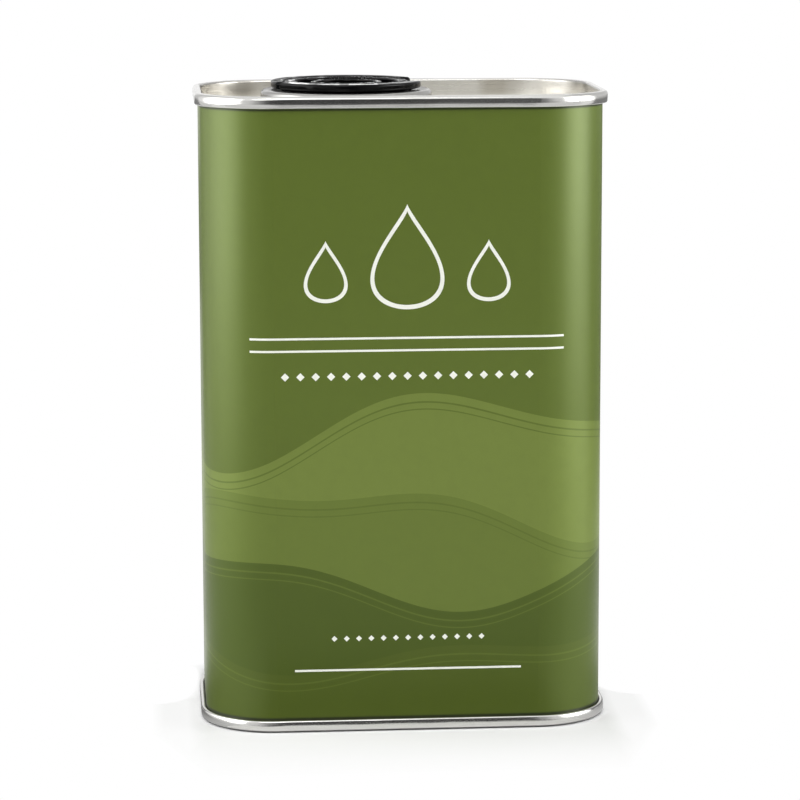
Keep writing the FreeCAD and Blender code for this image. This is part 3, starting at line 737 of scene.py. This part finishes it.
def build_cards():
    """Grey cards round the table, so that bright metal and black moulding show light against dark."""
    strip = card_material("strip_card", DARK_TONE, RUNNER_TONE, STRIP_FADE)
    grey = card_material("grey_card", RUNNER_TONE)
    wall = card_material("wall_card", DARK_TONE, RUNNER_TONE, WALL_FADE)
    black = card_material("black_card", BLACK_TONE)
    flag = card_material("flag_card", FLAG_TONE, FLAG_HEAD_TONE, FLAG_FADE, "Z")
    glint = card_material("glint_card", GLINT_TONE)
    for name, side in (("front", -1), ("back", 1)):
        add_card(f"{name}_strip", laid(STRIP_HALF, STRIP_NEAR * side, STRIP_FAR * side), strip)
        add_card(f"{name}_runner", laid(TABLE_HALF, STRIP_FAR * side, RUNNER_FAR * side), grey)
        add_card(f"{name}_end", laid(TABLE_HALF, RUNNER_FAR * side, TABLE_FAR * side), wall)
    for name, side in (("left", -1), ("right", 1)):
        tone = SIDE_STRIP_TONES[name]
        shade = card_material(f"{name}_strip_card", tone, SIDE_STRIP_END_TONE, SIDE_STRIP_FADE, "Y")
        across = (SIDE_STRIP_NEAR * side, STRIP_FAR * side)
        add_card(f"{name}_strip", laid_between(across, (-SIDE_STRIP_HALF, SIDE_STRIP_HALF)), shade)
    add_card("front_wall", upright((-WALL_HALF, WALL_HALF), (-TABLE_FAR, -TABLE_FAR), 0.0, WALL_HEAD), wall)
    behind = (CLOSURE_FLAG_Y, CLOSURE_FLAG_Y)
    add_card("closure_flag", upright(CLOSURE_FLAG_X, behind, CLOSURE_FLAG_FOOT, CLOSURE_FLAG_HEAD), black)
    for name, across in GLINTS.items():
        add_card(f"{name}_glint", upright(across, behind, CLOSURE_FLAG_HEAD, GLINT_HEAD), glint)
    for name, aside, near in (("left", -FLAG_ASIDE, FLAG_LEFT_NEAR), ("right", FLAG_ASIDE, FLAG_RIGHT_NEAR)):
        add_card(f"back_{name}_flag", upright((aside, aside), (near, FLAG_FAR), 0.0, FLAG_HEAD), flag)


def build_world():
    """An even white surround, seen as white and lighting the tin more gently."""
    world = bpy.data.worlds.new("studio")
    scene.world = world
    world.use_nodes = True
    tree = world.node_tree
    background = tree.nodes["Background"]
    strength = seen_in_picture(tree).ramp(0.0, 1.0, WORLD_LIGHT, 1.0)
    background.inputs["Color"].default_value = (1.0, 1.0, 1.0, 1.0)
    tree.links.new(strength.socket, background.inputs["Strength"])


def add_softbox(name, place, aim, size, watts, ends=(1.0, 1.0)):
    """A softbox that fades towards its upright edges, with its own strength at each end."""
    fade_part, edge_strength, middle_strength = 0.8, 0.05, 1.5
    lamp = bpy.data.lights.new(name, "AREA")
    lamp.shape = "RECTANGLE"
    lamp.size, lamp.size_y = size
    lamp.energy = watts
    lamp.use_nodes = True
    tree = lamp.node_tree
    split = tree.nodes.new("ShaderNodeSeparateXYZ")
    tree.links.new(tree.nodes.new("ShaderNodeNewGeometry").outputs["Parametric"], split.inputs[0])
    across = Field(tree, split.outputs["X"])
    from_edge = abs(across - 0.5) * -2.0 + 1.0
    fade = from_edge.ramp(0.0, fade_part, edge_strength, middle_strength)
    strength = fade * across.ramp(0.0, 1.0, *ends)
    tree.links.new(strength.socket, tree.nodes["Emission"].inputs["Strength"])
    holder = bpy.data.objects.new(name, lamp)
    scene.collection.objects.link(holder)
    holder.location = place
    holder.rotation_euler = (Vector(aim) - Vector(place)).to_track_quat("-Z", "Y").to_euler()


def build_lights():
    """Two softboxes at the sides and a weak one above the camera."""
    add_softbox(
        "left_box",
        place=(-0.36, LEFT_BOX_Y, BOX_CENTRE),
        aim=(0.0, LEFT_BOX_Y, BOX_CENTRE),
        size=(0.55, BOX_HEIGHT),
        watts=LEFT_WATTS,
        ends=(0.5, 1.5),
    )
    add_softbox(
        "right_box",
        place=(0.57, -0.18, BOX_CENTRE),
        aim=(0.0, 0.0, BOX_CENTRE),
        size=(0.66, BOX_HEIGHT),
        watts=RIGHT_WATTS,
    )
    add_softbox("key", place=(-0.20, -0.80, 0.95), aim=(0.0, 0.0, 0.07), size=(0.7, 0.5), watts=KEY_WATTS)


# The camera, from a fit to the rims of the tin in the photograph.
CAMERA_AZIMUTH = math.radians(-4.508)
CAMERA_ELEVATION = math.radians(9.383)
CAMERA_DISTANCE = 0.7238
CAMERA_ROLL = math.radians(-0.119)
AIM_ACROSS = 1.51 * MM
AIM_HEIGHT = 66.72 * MM
IMAGE_SIZE = 800
SENSOR_WIDTH = 36.0
CLIP_START = 0.01
FOCAL_PIXELS = 3340.6
CENTRE_OFFSET = (5.31, -0.20)


def build_camera():
    """The photograph's camera, which looks a little to the right of the tin's middle."""
    lens = bpy.data.cameras.new("camera")
    lens.sensor_width = SENSOR_WIDTH
    lens.lens = FOCAL_PIXELS / IMAGE_SIZE * SENSOR_WIDTH
    lens.shift_x = -CENTRE_OFFSET[0] / IMAGE_SIZE
    lens.shift_y = CENTRE_OFFSET[1] / IMAGE_SIZE
    lens.clip_start = CLIP_START
    holder = bpy.data.objects.new("camera", lens)
    scene.collection.objects.link(holder)
    back = Vector(
        (
            math.sin(CAMERA_AZIMUTH) * math.cos(CAMERA_ELEVATION),
            -math.cos(CAMERA_AZIMUTH) * math.cos(CAMERA_ELEVATION),
            math.sin(CAMERA_ELEVATION),
        )
    )
    aim = Vector((AIM_ACROSS * math.cos(CAMERA_AZIMUTH), AIM_ACROSS * math.sin(CAMERA_AZIMUTH), AIM_HEIGHT))
    stand = Matrix.Translation(aim + back * CAMERA_DISTANCE)
    turn = back.to_track_quat("Z", "Y").to_matrix().to_4x4()
    holder.matrix_world = stand @ turn @ Matrix.Rotation(CAMERA_ROLL, 4, "Z")
    scene.camera = holder


finishes = dress_nodes()
build_cone(finishes["spout_neck"])
build_thread("neck_thread", finishes["spout_neck"], "spout", root=9.5, crest=10.15, low=124.5, turns=2.0)
build_thread("cap_thread", finishes["cap"], "cap", root=10.5, crest=9.85, low=126.0, turns=1.75)
build_floor()
build_cards()
build_world()
build_lights()
build_camera()
scene.view_settings.view_transform = "Standard"
